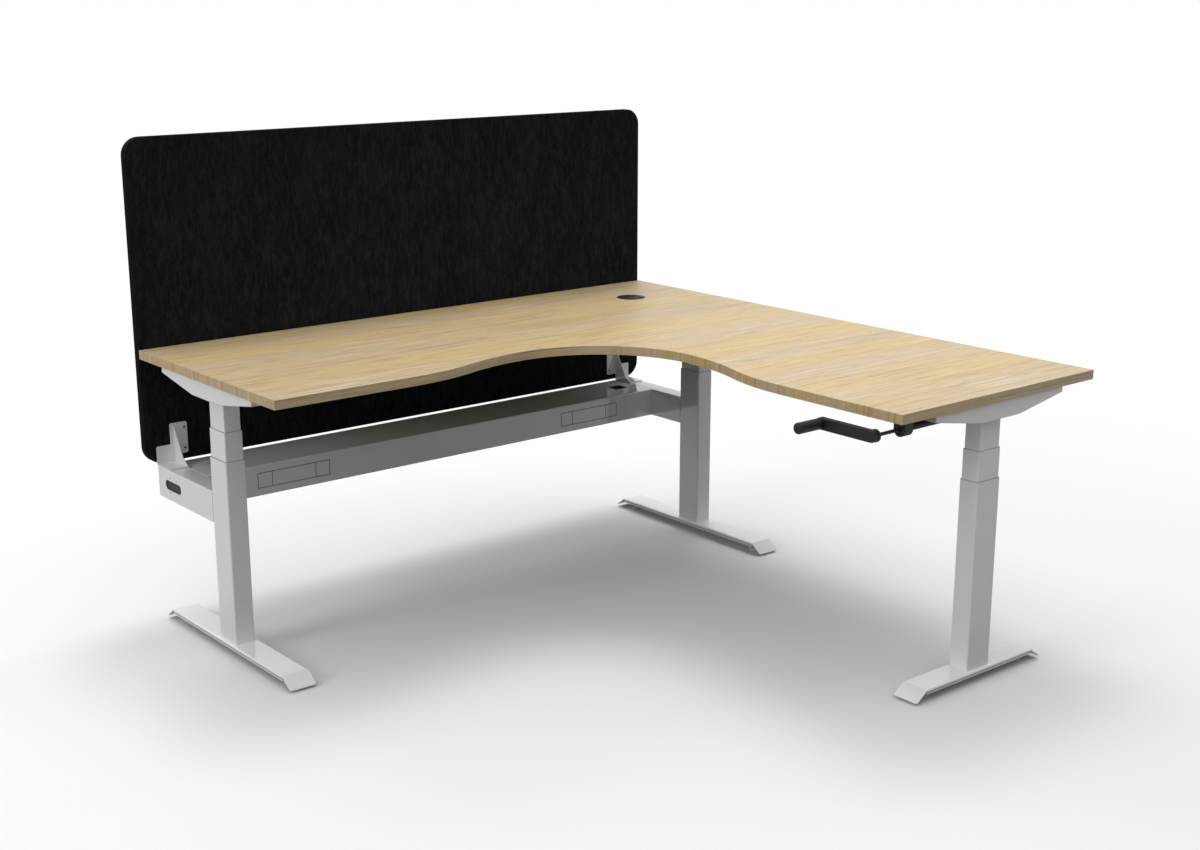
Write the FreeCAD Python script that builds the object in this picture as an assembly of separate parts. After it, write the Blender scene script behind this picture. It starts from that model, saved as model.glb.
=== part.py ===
# L-shaped corner workstation: crank-lifted top on three telescopic legs, with a cable beam and a screen
import FreeCAD, Part
import math
import os

os.makedirs("parts", exist_ok=True)

V = FreeCAD.Vector
centre = V(0, 0, 0)
x_axis = V(1, 0, 0)
y_axis = V(0, 1, 0)
z_axis = V(0, 0, 1)
leg_turn = -90
full_turn = 360

# Whole workstation
desk_length = 1800.0
wing_depth = 750.0
top_thickness = 25.0
desk_height = 775.0
leg_line = 368.0
end_inset = 61.0
corner_inset = 70.0

# Clearances shared by all pieces
cut_overrun = 2.0
slide_gap = 0.3
turn_gap = 0.08
join_tolerance = 0.0001

# Desktop and its edge band
narrow_depth = 680.0
bend_radius = 315.0
curve_reach = 1400.0
band_thickness = 2.0

# Cable port
port_offset = 232.0
port_hole_radius = 40.0
port_flange_radius = 46.0
port_flange_height = 1.6
port_sleeve_depth = 20.0
port_bore_radius = 37.0
port_lug = 3.0
port_lug_width = 8.0
port_lugs = 3
lid_thickness = 3.0
lid_slot_width = 14.0
lid_slot_depth = 12.0
lid_turn = 45

# Telescopic tubes
outer_tube_x = 57.0
outer_tube_y = 89.0
tube_step = 5.0
tube_wall = 1.5
tube_radius = 4.5
tube_radius_step = 1.0
tube_inner_cut = 1.5
outer_tube_top = 538.0
middle_tube_bottom = 113.0
middle_tube_top = 618.0
inner_tube_bottom = 195.0
guide_depth = 40.0
guide_lip = 1.2
guide_lip_cut = 3.0

# Lifting screws inside each leg
pillar_flange_thickness = 6.0
pillar_width = 30.0
pillar_wall = 2.5
pillar_top = 430.0
nut_height = 25.0
hollow_screw_radius = 10.0
hollow_screw_bore = 13.0
hollow_screw_bottom = 130.0
hollow_screw_top = 596.0
upper_screw_radius = 6.0
upper_screw_bottom = 200.0
sleeve_width = 40.0
sleeve_wall = 2.5
carrier_plate = 6.0
carrier_cap = 16.0

# Feet and glides
foot_width = 76.0
foot_top = 35.0
foot_sheet = 3.0
foot_flange = 12.0
foot_return = 9.0
foot_bend = 4.0
foot_bevel_run = 38.0
foot_tip_height = 8.0
foot_tip_radius = 6.0
foot_groove = 1.6
foot_groove_depth = 0.8
long_foot = 698.0
short_foot = 498.0
glide_inset = 62.0
glide_radius = 19.0
glide_height = 8.0
glide_stem = 12.0

# Side brackets under the top
pan_length = 500.0
pan_width = 106.0
pan_depth = 48.0
pan_end_depth = 18.0
pan_flat = 154.0
pan_sheet = 2.5
pan_rim = 2.0
pan_blend = 150.0
pan_lip = 14.0
pan_window = 24.0
pan_slot_start = 100.0
pan_slot_end = 236.0

# Gearboxes and drive rods
drive_drop = 33.0
gearbox_x = 44.0
gearbox_y = 74.0
gearbox_headroom = 3.0
gearbox_bevel = 5.0
gearbox_core = 8.0
screw_journal = 5.0
rod_flats = 7.0
rod_clearance = 3.0
mitre_size = 50.0
mitre_height = 46.0
mitre_ear = 18.0
mitre_ear_width = 26.0
mitre_ear_thickness = 4.0

# Rails under the top
rail_offsets = (200.0, -120.0)
rail_width = 40.0
rail_height = 25.0
rail_sheet = 2.0

# Crank
crank_tube_radius = 6.0
crank_tube_end = 690.0
crank_bore_depth = 190.0
hex_size = 8.0
hex_gap = 0.2
rod_reach_in = 125.0
tube_overhang = 3.0
bearing_length = 30.0
bearing_width = 36.0
bearing_flange_y = 76.0
bearing_flange = 4.0
arm_gap = 86.0
arm_thickness = 14.0
arm_width = 30.0
arm_reach = 160.0
arm_bevel = 1.5
hub_radius = 12.0
hub_length = 8.0
grip_length = 79.0
grip_radius = 14.0
grip_bevel = 4.0
grip_pin_radius = 4.0
grip_pin_reach = 60.0

# Cable beam and its arms
beam_drop = 331.5
beam_height = 88.0
beam_depth = 183.0
beam_sheet = 2.0
beam_bend = 3.0
beam_lip = 25.0
arm_lip = 12.0
arm_window_depth = 130.0
arm_window_height = 60.0
blank_inset = 210.0
blank_length = 229.0
blank_height = 43.0
blank_end = 45.0
blank_gap = 1.0
blank_clip = 8.0
slot_length = 94.0
slot_height = 27.0
slot_radius = 12.0
slot_from_rear = 90.0
plate_hole_spacing = 40.0
plate_hole_radius = 2.5
cutout_x = 40.0
cutout_y = 36.0
cutout_inset = 128.0
cutout_from_rear = 75.0

# Screen and its two brackets
screen_gap = 5.0
screen_thickness = 24.0
screen_height = 900.0
screen_lift = 3.5
screen_radius = 50.0
cover_thickness = 3.0
trim_thickness = 1.5
bracket_width = 95.0
bracket_height = 112.0
bracket_sheet = 3.0
bracket_radius = 6.0
lobe_width = 43.0
lobe_height = 52.0
web_inset = 54.0
web_depth = 74.0
web_toe = 46.0
web_toe_height = 20.0
web_top_gap = 6.0
flange_underside = 21.0

# Places that follow from the sizes above
right_edge = desk_length / 2
left_edge = -right_edge
rear_edge = (desk_length - screen_gap - screen_thickness) / 2
front_edge = rear_edge - desk_length
underside = desk_height - top_thickness
drive_height = underside - drive_drop
pan_bottom = underside - pan_depth
pan_floor = pan_bottom + pan_sheet
beam_top = desk_height - beam_drop
beam_bottom = beam_top - beam_height
beam_left = left_edge + end_inset - outer_tube_x / 2
beam_right = right_edge - corner_inset + outer_tube_x / 2
middle_tube_x = outer_tube_x - tube_step
middle_tube_y = outer_tube_y - tube_step
inner_tube_x = middle_tube_x - tube_step
inner_tube_y = middle_tube_y - tube_step
rod_reach = rod_flats / math.sqrt(3)
bearing_end = crank_tube_end - tube_overhang
arm_start = crank_tube_end + arm_gap

# rod_side is the side of the leg that the cross rod enters, in the leg's own directions
legs = (
    {"name": "left", "x": left_edge + end_inset, "y": rear_edge - leg_line, "turn": 0,
     "foot": long_foot, "rod_side": 1, "crank": False},
    {"name": "corner", "x": right_edge - corner_inset, "y": rear_edge - leg_line, "turn": 0,
     "foot": long_foot, "rod_side": -1, "crank": False},
    {"name": "right", "x": right_edge - leg_line, "y": front_edge + end_inset, "turn": leg_turn,
     "foot": short_foot, "rod_side": -1, "crank": True},
)
left_leg, corner_leg, right_leg = legs

# Each plane has its first direction, its second direction and its normal
planes = {
    "xy": (x_axis, y_axis, z_axis),
    "yz": (y_axis, z_axis, x_axis),
    "xz": (x_axis, z_axis, y_axis),
}


def box(x_low, x_high, y_low, y_high, z_low, z_high):
    return Part.makeBox(x_high - x_low, y_high - y_low, z_high - z_low, V(x_low, y_low, z_low))


def rod(radius, start, direction, length):
    return Part.makeCylinder(radius, length, start, direction)


# A closed outline through (a, b, radius) corners, each rounded by its own radius
def outline(corners, plane, level):
    first, second, normal = planes[plane]
    points = [first * a + second * b + normal * level for a, b, radius in corners]
    cuts = []
    for index, (a, b, radius) in enumerate(corners):
        here = points[index]
        to_before = (points[index - 1] - here).normalize()
        to_after = (points[(index + 1) % len(points)] - here).normalize()
        if radius == 0:
            cuts.append((here, None, here))
            continue
        half_angle = to_before.getAngle(to_after) / 2
        reach = radius / math.tan(half_angle)
        bisector = (to_before + to_after).normalize()
        middle = here + bisector * (radius / math.sin(half_angle) - radius)
        cuts.append((here + to_before * reach, middle, here + to_after * reach))
    edges = []
    for (start, middle, end), following in zip(cuts, cuts[1:] + cuts[:1]):
        if middle is not None:
            edges.append(Part.Arc(start, middle, end).toShape())
        if not end.isEqual(following[0], join_tolerance):
            edges.append(Part.makeLine(end, following[0]))
    return Part.Wire(edges)


def prism(corners, plane, low, high):
    return Part.Face(outline(corners, plane, low)).extrude(planes[plane][2] * (high - low))


def rounded_rectangle(size_a, size_b, radius, centre_a=0, centre_b=0):
    signs = ((-1, -1), (1, -1), (1, 1), (-1, 1))
    return [(centre_a + a * size_a / 2, centre_b + b * size_b / 2, radius) for a, b in signs]


# A rectangle whose corners are cut straight
def cut_rectangle(size_a, size_b, cut):
    a = size_a / 2
    b = size_b / 2
    return [(cut - a, -b, 0), (a - cut, -b, 0), (a, cut - b, 0), (a, b - cut, 0),
            (a - cut, b, 0), (cut - a, b, 0), (-a, b - cut, 0), (-a, cut - b, 0)]


def centred_block(size_x, size_y, z_low, z_high):
    return box(-size_x / 2, size_x / 2, -size_y / 2, size_y / 2, z_low, z_high)


def rounded_bar(size_x, size_y, radius, z_low, z_high):
    return prism(rounded_rectangle(size_x, size_y, radius), "xy", z_low, z_high)


def cut_bar(size_x, size_y, cut, z_low, z_high):
    return prism(cut_rectangle(size_x, size_y, cut), "xy", z_low, z_high)


def tube_bar(size_x, size_y, radius, z_low, z_high):
    inside = cut_bar(size_x - 2 * tube_wall, size_y - 2 * tube_wall, tube_inner_cut,
                     z_low - cut_overrun, z_high + cut_overrun)
    return rounded_bar(size_x, size_y, radius, z_low, z_high).cut(inside)


def hexagon(across_flats, centre_a, centre_b):
    reach = across_flats / math.sqrt(3)
    angles = [k * math.pi / 3 for k in range(6)]
    return [(centre_a + reach * math.cos(angle), centre_b + reach * math.sin(angle), 0) for angle in angles]


# Moves a piece from a leg's own directions, with the foot along Y, to its place under the top
def at_leg(shape, leg):
    moved = shape.copy()
    moved.rotate(centre, z_axis, leg["turn"])
    moved.translate(V(leg["x"], leg["y"], 0))
    return moved


def save(shape, name):
    shape.exportStep("parts/" + name + ".step")


def save_group(shapes, name):
    save(Part.makeCompound(shapes), name)


# A point of the top's outline, by its distances from the right edge and from the rear edge
def from_corner(across, back, z):
    return V(right_edge - across, rear_edge - back, z)


# The outline of the top: two wings that narrow in S-curves to a round inner corner
def top_outline(z):
    bend_centre = narrow_depth + bend_radius
    run = curve_reach - bend_centre
    drop = wing_depth - narrow_depth
    sweep = 2 * math.atan(drop / run)
    s_radius = run / (2 * math.sin(sweep))

    def outer_arc(angle):
        return (curve_reach - s_radius * math.sin(angle), wing_depth - s_radius * (1 - math.cos(angle)))

    def inner_arc(angle):
        return (bend_centre + s_radius * math.sin(angle), narrow_depth + s_radius * (1 - math.cos(angle)))

    diagonal = bend_centre - bend_radius * math.sqrt(0.5)
    half = [(outer_arc(0), outer_arc(sweep / 2), outer_arc(sweep)),
            (inner_arc(sweep), inner_arc(sweep / 2), inner_arc(0))]
    bend = [((bend_centre, narrow_depth), (diagonal, diagonal), (narrow_depth, bend_centre))]
    mirrored = [tuple((b, a) for a, b in reversed(arc)) for arc in reversed(half)]
    edges = []
    for arc in half + bend + mirrored:
        points = [from_corner(a, b, z) for a, b in arc]
        edges.append(Part.Arc(*points).toShape())
    straight = [(wing_depth, curve_reach), (wing_depth, desk_length), (0, desk_length), (0, 0),
                (desk_length, 0), (desk_length, wing_depth), (curve_reach, wing_depth)]
    for start, end in zip(straight, straight[1:]):
        edges.append(Part.makeLine(from_corner(*start, z), from_corner(*end, z)))
    return Part.Wire(Part.sortEdges(edges)[0])


def desktop_board():
    inner = Part.Face(top_outline(underside).makeOffset2D(-band_thickness, 2))
    board = inner.extrude(z_axis * top_thickness)
    hole_start = from_corner(port_offset, port_offset, underside - cut_overrun)
    board = board.cut(rod(port_hole_radius, hole_start, z_axis, top_thickness + 2 * cut_overrun))
    rebate_start = from_corner(port_offset, port_offset, desk_height - port_flange_height)
    rebate = rod(port_flange_radius + slide_gap, rebate_start, z_axis, port_flange_height + cut_overrun)
    return board.cut(rebate)


def edge_band():
    outer = Part.Face(top_outline(underside)).extrude(z_axis * top_thickness)
    inner_wire = top_outline(underside - cut_overrun).makeOffset2D(-band_thickness, 2)
    inner = Part.Face(inner_wire).extrude(z_axis * (top_thickness + 2 * cut_overrun))
    return outer.cut(inner)


# Liner of the cable port: flange in the rebate, sleeve in the hole, three lugs for the lid
def port_ring():
    sleeve_radius = port_hole_radius - slide_gap
    wall_middle = (sleeve_radius + port_bore_radius) / 2
    flange = rod(port_flange_radius, centre, -z_axis, port_flange_height)
    sleeve = rod(sleeve_radius, -z_axis * port_flange_height, -z_axis, port_sleeve_depth - port_flange_height)
    ring = flange.fuse(sleeve)
    ring = ring.cut(rod(port_bore_radius, z_axis * cut_overrun, -z_axis, port_sleeve_depth + 2 * cut_overrun))
    lug = box(port_bore_radius - port_lug, wall_middle, -port_lug_width / 2, port_lug_width / 2,
              -lid_thickness - port_lug, -lid_thickness)
    for count in range(port_lugs):
        placed = lug.copy()
        placed.rotate(centre, z_axis, count * full_turn / port_lugs)
        ring = ring.fuse(placed)
    ring.translate(from_corner(port_offset, port_offset, desk_height))
    return ring.removeSplitter()


def port_lid():
    place = from_corner(port_offset, port_offset, desk_height - lid_thickness)
    radius = port_bore_radius - slide_gap
    lid = rod(radius, place, z_axis, lid_thickness)
    notch = prism(rounded_rectangle(lid_slot_width, 2 * lid_slot_depth, lid_slot_width / 2 - slide_gap),
                  "xy", -cut_overrun, lid_thickness + cut_overrun)
    notch.translate(V(0, -radius, 0))
    notch.rotate(centre, z_axis, lid_turn)
    notch.translate(place)
    return lid.cut(notch)


# Sheet foot: lipped channel with a groove along each flange and a bevelled plate at each end
def foot(leg):
    half = foot_width / 2
    inside = half - foot_sheet
    ceiling = foot_top - foot_sheet
    low = foot_top - foot_flange
    lip_top = low + foot_sheet - foot_groove_depth
    lip = half - foot_return
    top_half = leg["foot"] / 2 - foot_bevel_run
    section = [(-half, low, 0), (-lip, low, 0), (-lip, lip_top, 0), (-inside, lip_top, 0),
               (-inside, ceiling, 0), (inside, ceiling, 0), (inside, lip_top, 0), (lip, lip_top, 0),
               (lip, low, 0), (half, low, 0), (half, foot_top, foot_bend), (-half, foot_top, foot_bend)]
    body = prism(section, "xz", -top_half, top_half)
    groove_low = low + foot_flange / 2 - foot_groove
    for side in (-1, 1):
        inner = side * (half - foot_groove_depth)
        outer = side * (half + cut_overrun)
        body = body.cut(box(min(inner, outer), max(inner, outer), -top_half - cut_overrun,
                            top_half + cut_overrun, groove_low, groove_low + foot_groove))
    slope = math.atan((foot_top - foot_tip_height) / foot_bevel_run)
    bevel_length = foot_bevel_run / math.cos(slope)
    plate_corners = [(-half, 0, 0), (half, 0, 0), (half, bevel_length, foot_tip_radius),
                     (-half, bevel_length, foot_tip_radius)]
    plate = prism(plate_corners, "xy", -foot_sheet, 0)
    plate.rotate(centre, x_axis, -math.degrees(slope))
    plate.translate(V(0, top_half, foot_top))
    far_plate = plate.copy()
    far_plate.rotate(centre, z_axis, full_turn / 2)
    body = body.fuse([plate, far_plate])
    return body.removeSplitter()


def glide_places(leg):
    reach = leg["foot"] / 2 - glide_inset
    return [V(0, -reach, 0), V(0, reach, 0)]


def glide(place):
    stem_top = foot_top - foot_sheet
    stem = prism(hexagon(glide_stem, place.x, place.y), "xy", glide_height, stem_top)
    return rod(glide_radius, place, z_axis, glide_height).fuse(stem)


# Square pillar of the lifting screw, which keeps its nut from turning, on a flange in the outer tube
def pillar():
    flange_top = foot_top + pillar_flange_thickness
    flange = cut_bar(outer_tube_x - 2 * tube_wall, outer_tube_y - 2 * tube_wall, tube_inner_cut,
                     foot_top, flange_top)
    post = centred_block(pillar_width, pillar_width, flange_top, pillar_top)
    inside = pillar_width - 2 * pillar_wall
    return flange.fuse(post).cut(centred_block(inside, inside, flange_top, pillar_top + cut_overrun))


def pillar_nut():
    body = centred_block(pillar_width, pillar_width, pillar_top, pillar_top + nut_height)
    bore_start = z_axis * (pillar_top - cut_overrun)
    return body.cut(rod(hollow_screw_radius + turn_gap, bore_start, z_axis, nut_height + 2 * cut_overrun))


# Hollow screw with a hexagonal bore, which turns with the upper screw inside it
def hollow_screw():
    length = hollow_screw_top - hollow_screw_bottom
    body = rod(hollow_screw_radius, z_axis * hollow_screw_bottom, z_axis, length)
    bore = prism(hexagon(hollow_screw_bore, 0, 0), "xy", hollow_screw_bottom - cut_overrun,
                 hollow_screw_top + cut_overrun)
    return body.cut(bore)


def upper_screw():
    length = pan_floor + screw_journal - upper_screw_bottom
    return rod(upper_screw_radius, z_axis * upper_screw_bottom, z_axis, length)


# Carrier of the middle tube: bottom plate, square sleeve round the pillar, cap that is the upper nut
def carrier():
    plate = cut_bar(middle_tube_x - 2 * tube_wall, middle_tube_y - 2 * tube_wall, tube_inner_cut,
                    middle_tube_bottom, middle_tube_bottom + carrier_plate)
    cap_low = hollow_screw_top + turn_gap
    cap_high = cap_low + carrier_cap
    sleeve = centred_block(sleeve_width, sleeve_width, middle_tube_bottom, cap_high)
    inside = sleeve_width - 2 * sleeve_wall
    hollow = centred_block(inside, inside, middle_tube_bottom - cut_overrun, cap_low)
    bore = rod(upper_screw_radius + turn_gap, z_axis * (cap_low - cut_overrun), z_axis,
               carrier_cap + 2 * cut_overrun)
    return plate.fuse(sleeve).cut(hollow).cut(bore)


# Plastic collar in the mouth of the outer tube, with a lip over its edge
def outer_guide():
    collar_low = outer_tube_top - guide_depth
    lip_top = outer_tube_top + guide_lip
    collar = cut_bar(outer_tube_x - 2 * tube_wall, outer_tube_y - 2 * tube_wall, tube_inner_cut,
                     collar_low, outer_tube_top)
    lip = cut_bar(outer_tube_x, outer_tube_y, guide_lip_cut, outer_tube_top, lip_top)
    hole = cut_bar(middle_tube_x + 2 * slide_gap, middle_tube_y + 2 * slide_gap, tube_inner_cut,
                   collar_low - cut_overrun, lip_top + cut_overrun)
    return collar.fuse(lip).cut(hole)


# Plastic collar round the lower end of the inner tube
def inner_guide():
    low = inner_tube_bottom
    high = inner_tube_bottom + guide_depth
    inset = 2 * (tube_wall + slide_gap)
    collar = cut_bar(middle_tube_x - inset, middle_tube_y - inset, tube_inner_cut, low, high)
    hole = cut_bar(inner_tube_x, inner_tube_y, tube_inner_cut - slide_gap, low - cut_overrun,
                   high + cut_overrun)
    return collar.cut(hole)


# Pressed pan under the top: deep flat middle on the leg, ends that rise to a shallow edge
def pan(leg):
    half = pan_length / 2
    flat = pan_flat / 2
    end_low = underside - pan_end_depth
    roof = underside + 2 * pan_sheet
    corners = [(-half, roof, 0), (-half, end_low, 0), (-flat, pan_bottom, pan_blend),
               (flat, pan_bottom, pan_blend), (half, end_low, 0), (half, roof, 0)]
    outer = prism(corners, "yz", -pan_width / 2, pan_width / 2)
    rims = [edge for edge in outer.Edges if edge.BoundBox.ZMax < end_low + slide_gap]
    rims = [edge for edge in rims if edge.BoundBox.XLength < slide_gap or edge.BoundBox.ZMin > pan_floor]
    rims += [edge for edge in outer.Edges if edge.BoundBox.ZMax > underside > edge.BoundBox.ZMin]
    outer = outer.makeChamfer(pan_rim, rims)
    inner_wire = outline(corners, "yz", pan_sheet - pan_width / 2).makeOffset2D(-pan_sheet)
    inner = Part.Face(inner_wire).extrude(x_axis * (pan_width - 2 * pan_sheet))
    body = outer.cut(inner)
    body = body.cut(centred_block(2 * pan_width, 2 * pan_length, underside, roof + cut_overrun))
    lip_outer = pan_width / 2 - pan_sheet
    for side in (-1, 1):
        ends = sorted((side * lip_outer, side * (lip_outer - pan_lip)))
        body = body.fuse(box(ends[0], ends[1], pan_sheet - half, half - pan_sheet, underside - pan_sheet,
                             underside))
    body = body.cut(centred_block(pan_window, pan_window, pan_bottom - cut_overrun, pan_floor + cut_overrun))
    notch = sorted((leg["rod_side"] * pan_lip, leg["rod_side"] * pan_width))
    reach = rod_reach + rod_clearance
    body = body.cut(box(notch[0], notch[1], -reach, reach, drive_height - reach, underside + cut_overrun))
    if leg["crank"]:
        reach = crank_tube_radius + rod_clearance
        body = body.cut(box(-reach, reach, -pan_slot_end, -pan_slot_start, pan_bottom - cut_overrun,
                            drive_height + reach))
    return body.removeSplitter()


# Cast gearbox on the pan floor, with a bore for each rod and for the screw's journal
def gearbox(leg):
    top = underside - gearbox_headroom
    body = centred_block(gearbox_x, gearbox_y, pan_floor, top)
    body = body.makeChamfer(gearbox_bevel, [edge for edge in body.Edges if edge.BoundBox.ZMin > pan_floor])
    side = leg["rod_side"]
    rod_start = V(side * gearbox_core, 0, drive_height)
    body = body.cut(rod(rod_reach + turn_gap, rod_start, x_axis * side, gearbox_x))
    body = body.cut(rod(upper_screw_radius + turn_gap, V(0, 0, pan_floor - cut_overrun), z_axis,
                        screw_journal + turn_gap + cut_overrun))
    if leg["crank"]:
        bore_start = V(0, crank_tube_seat(), drive_height)
        body = body.cut(rod(crank_tube_radius + turn_gap, bore_start, -y_axis, gearbox_y))
    return body


# Inner end of the crank tube, in the right leg's own directions
def crank_tube_seat():
    return -gearbox_core - crank_tube_radius


# Gearbox under the inner corner, where the wing rod meets the long rod
def mitre_gearbox():
    x = right_leg["x"]
    y = corner_leg["y"]
    half = mitre_size / 2
    body = box(x - half, x + half, y - half, y + half, underside - mitre_height, underside)
    lower = [edge for edge in body.Edges if edge.BoundBox.ZMax < underside - slide_gap]
    body = body.makeChamfer(gearbox_bevel, lower)
    ear = half + mitre_ear
    ear_half = mitre_ear_width / 2
    ears = box(x - ear, x + ear, y - ear_half, y + ear_half, underside - mitre_ear_thickness, underside)
    body = body.fuse(ears)
    body = body.cut(rod(rod_reach + turn_gap, V(x - mitre_size, y, drive_height), x_axis, 2 * mitre_size))
    body = body.cut(rod(rod_reach + turn_gap, V(x, y - gearbox_core, drive_height), -y_axis, mitre_size))
    return body.removeSplitter()


# Start, end and sideways direction of each rail under the top
def rail_runs():
    left_side = left_leg["x"] + pan_width / 2
    right_side = corner_leg["x"] - pan_width / 2
    wing_start = right_leg["y"] + pan_width / 2
    wing_end = corner_leg["y"] + min(rail_offsets) - rail_width / 2
    runs = []
    for offset in rail_offsets:
        y = corner_leg["y"] + offset
        runs.append((V(left_side, y, underside), V(right_side, y, underside), "x"))
    for offset in rail_offsets:
        x = right_leg["x"] + offset
        runs.append((V(x, wing_start, underside), V(x, wing_end, underside), "y"))
    return runs


def rail(run):
    start, end, direction = run
    half = rail_width / 2
    low = underside - rail_height
    inside = half - rail_sheet
    ceiling = underside - rail_sheet
    middle = start.y if direction == "x" else start.x
    section = [(middle - half, low, 0), (middle - inside, low, 0), (middle - inside, ceiling, 0),
               (middle + inside, ceiling, 0), (middle + inside, low, 0), (middle + half, low, 0),
               (middle + half, underside, 0), (middle - half, underside, 0)]
    if direction == "x":
        return prism(section, "yz", start.x, end.x)
    return prism(section, "xz", start.y, end.y)


def long_rod():
    start = left_leg["x"] + gearbox_core + turn_gap
    end = corner_leg["x"] - gearbox_core - turn_gap
    return prism(hexagon(rod_flats, corner_leg["y"], drive_height), "yz", start, end)


def wing_rod():
    start = right_leg["y"] + gearbox_core + turn_gap
    end = corner_leg["y"] - gearbox_core - turn_gap
    return prism(hexagon(rod_flats, right_leg["x"], drive_height), "xz", start, end)


# Tube that the crank turns, from the bearing to the right gearbox, with a hexagon bore
def crank_tube():
    y = right_leg["y"]
    start = right_edge - crank_tube_end
    end = right_leg["x"] + crank_tube_seat() - turn_gap
    body = rod(crank_tube_radius, V(start, y, drive_height), x_axis, end - start)
    bore = prism(hexagon(hex_size + hex_gap, y, drive_height), "yz", start - cut_overrun,
                 start + crank_bore_depth)
    return body.cut(bore)


def crank_bearing():
    x_low = right_edge - bearing_end
    x_high = x_low + bearing_length
    y = right_leg["y"]
    half = bearing_width / 2
    flange_half = bearing_flange_y / 2
    corners = [(y - half, underside, 0), (y - half, drive_height - half, half),
               (y + half, drive_height - half, half), (y + half, underside, 0)]
    body = prism(corners, "yz", x_low, x_high)
    flange = box(x_low, x_high, y - flange_half, y + flange_half, underside - bearing_flange, underside)
    body = body.fuse(flange)
    body = body.cut(rod(crank_tube_radius + turn_gap, V(x_low - cut_overrun, y, drive_height), x_axis,
                        bearing_length + 2 * cut_overrun))
    return body.removeSplitter()


def crank_rod():
    start = right_edge - arm_start
    end = right_edge - crank_tube_end + rod_reach_in
    return prism(hexagon(hex_size, right_leg["y"], drive_height), "yz", start, end)


# Flat crank arm with round ends and a hub on the rod
def crank_arm():
    x_face = right_edge - arm_start
    x_outer = x_face - arm_thickness
    y = right_leg["y"]
    corners = rounded_rectangle(arm_reach + arm_width, arm_width, arm_width / 2, y + arm_reach / 2,
                                drive_height)
    arm = prism(corners, "yz", x_outer, x_face)
    arm = arm.makeChamfer(arm_bevel, [edge for edge in arm.Edges if edge.BoundBox.XMax < x_outer + slide_gap])
    arm = arm.fuse(rod(hub_radius, V(x_face, y, drive_height), x_axis, hub_length))
    socket = prism(hexagon(hex_size, y, drive_height), "yz", x_face, x_face + hub_length + cut_overrun)
    return arm.cut(socket)


def grip_pin():
    place = V(right_edge - arm_start - arm_thickness, right_leg["y"] + arm_reach, drive_height)
    return rod(grip_pin_radius, place, -x_axis, grip_pin_reach)


# Grip that turns on its pin, bevelled at its free end
def crank_grip():
    x_start = right_edge - arm_start - arm_thickness - slide_gap
    place = V(x_start, right_leg["y"] + arm_reach, drive_height)
    body = rod(grip_radius, place, -x_axis, grip_length)
    free_end = [edge for edge in body.Edges if edge.BoundBox.XMax < x_start - grip_bevel]
    body = body.makeChamfer(grip_bevel, free_end)
    bore_start = place + x_axis * cut_overrun
    return body.cut(rod(grip_pin_radius + turn_gap, bore_start, -x_axis, grip_pin_reach + cut_overrun))


# Folded beam between the two arms: closed on top, returns along the open bottom
def cable_beam():
    left = beam_left + outer_tube_x
    right = beam_right - outer_tube_x
    front = rear_edge - beam_depth
    section = [(front, beam_bottom, beam_bend), (front, beam_top, beam_bend), (rear_edge, beam_top, beam_bend),
               (rear_edge, beam_bottom, beam_bend), (rear_edge - beam_lip, beam_bottom, 0),
               (rear_edge - beam_lip, beam_bottom + beam_sheet, 0),
               (rear_edge - beam_sheet, beam_bottom + beam_sheet, 0),
               (rear_edge - beam_sheet, beam_top - beam_sheet, 0),
               (front + beam_sheet, beam_top - beam_sheet, 0),
               (front + beam_sheet, beam_bottom + beam_sheet, 0),
               (front + beam_lip, beam_bottom + beam_sheet, 0), (front + beam_lip, beam_bottom, 0)]
    body = prism(section, "yz", left, right)
    middle = (beam_top + beam_bottom) / 2
    for x_low in blank_starts():
        body = body.cut(box(x_low, x_low + blank_length, front - cut_overrun, front + beam_sheet + cut_overrun,
                            middle - blank_height / 2, middle + blank_height / 2))
    cut_x = beam_right - cutout_inset
    cut_y = rear_edge - cutout_from_rear
    body = body.cut(box(cut_x - cutout_x / 2, cut_x + cutout_x / 2, cut_y - cutout_y, cut_y,
                        beam_top - beam_sheet - cut_overrun, beam_top + cut_overrun))
    return body


def blank_starts():
    return [beam_left + blank_inset, beam_right - blank_inset - blank_length]


# Three blanking plates in each module window, with clips behind them
def blanks():
    plates = []
    front = rear_edge - beam_depth
    middle = (beam_top + beam_bottom) / 2
    half = blank_height / 2
    spans = ((0, blank_end), (blank_end, blank_length - blank_end), (blank_length - blank_end, blank_length))
    for x_low in blank_starts():
        for start, end in spans:
            first = x_low + start + blank_gap / 2
            last = x_low + end - blank_gap / 2
            face = box(first, last, front, front + beam_sheet, middle - half + blank_gap / 2,
                       middle + half - blank_gap / 2)
            x_mid = (first + last) / 2
            clip = box(x_mid - blank_clip, x_mid + blank_clip, front + beam_sheet, front + 2 * beam_sheet,
                       middle - half - blank_clip / 2, middle + half + blank_clip / 2)
            plates.append(face.fuse(clip))
    return plates


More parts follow.
